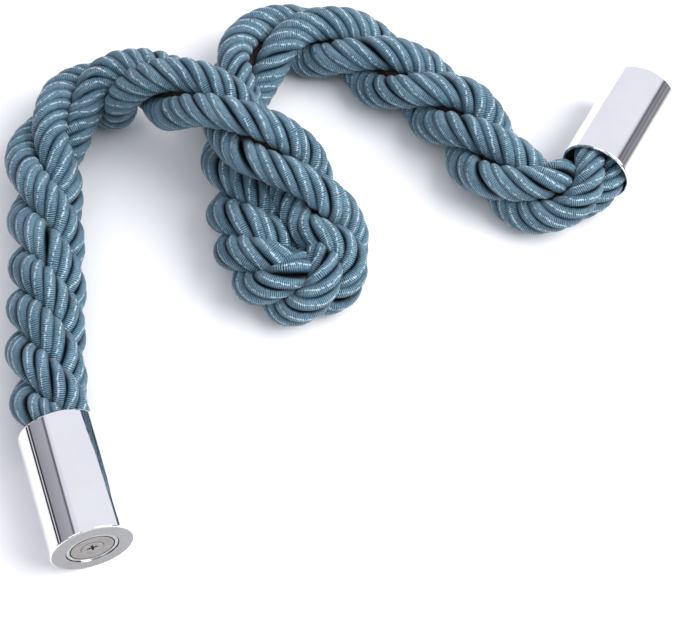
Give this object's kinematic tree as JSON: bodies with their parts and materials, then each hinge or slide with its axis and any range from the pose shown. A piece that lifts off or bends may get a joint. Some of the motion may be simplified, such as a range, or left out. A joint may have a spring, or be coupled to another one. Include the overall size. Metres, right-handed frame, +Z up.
{
  "type": "twisted barrier rope",
  "caption": "Short thick twisted satin rope with a plated cylindrical cap and a recessed disc magnet on each end, lying in a loose curve that crosses itself.",
  "frame": {"origin": "bottom centre of the box round the two capped ends, on the table they lie on", "axes": "+Z up from the table; +X along the longer side of the box round the two capped ends, from the left cap to the right cap; +Y from the left cap's end face towards the right cap's"},
  "size_m": [0.1842, 0.1715, 0.0382],
  "materials": {
    "chrome_cap": "polished side with a satin turned end face",
    "steel_cup": "nickel plated, satin",
    "plated_magnet": "plated, warm grey, satin",
    "steel_screw": "plated, satin",
    "wood_plug": "raw turned wood",
    "hard_glue": "set glue",
    "binding_thread": "tight waxed thread",
    "satin_rope": "twisted plies wrapped in satin thread, teal blue"
  },
  "bodies": {
    "root": {"left_cap": "chrome_cap", "left_magnet_cup": "steel_cup", "left_magnet": "plated_magnet", "left_screw": "steel_screw", "left_plug": "wood_plug", "left_glue_pad": "hard_glue", "left_binding": "binding_thread", "right_cap": "chrome_cap", "right_magnet_cup": "steel_cup", "right_magnet": "plated_magnet", "right_screw": "steel_screw", "right_plug": "wood_plug", "right_glue_pad": "hard_glue", "right_binding": "binding_thread", "rope": "satin_rope"}
  },
  "joints": []
}
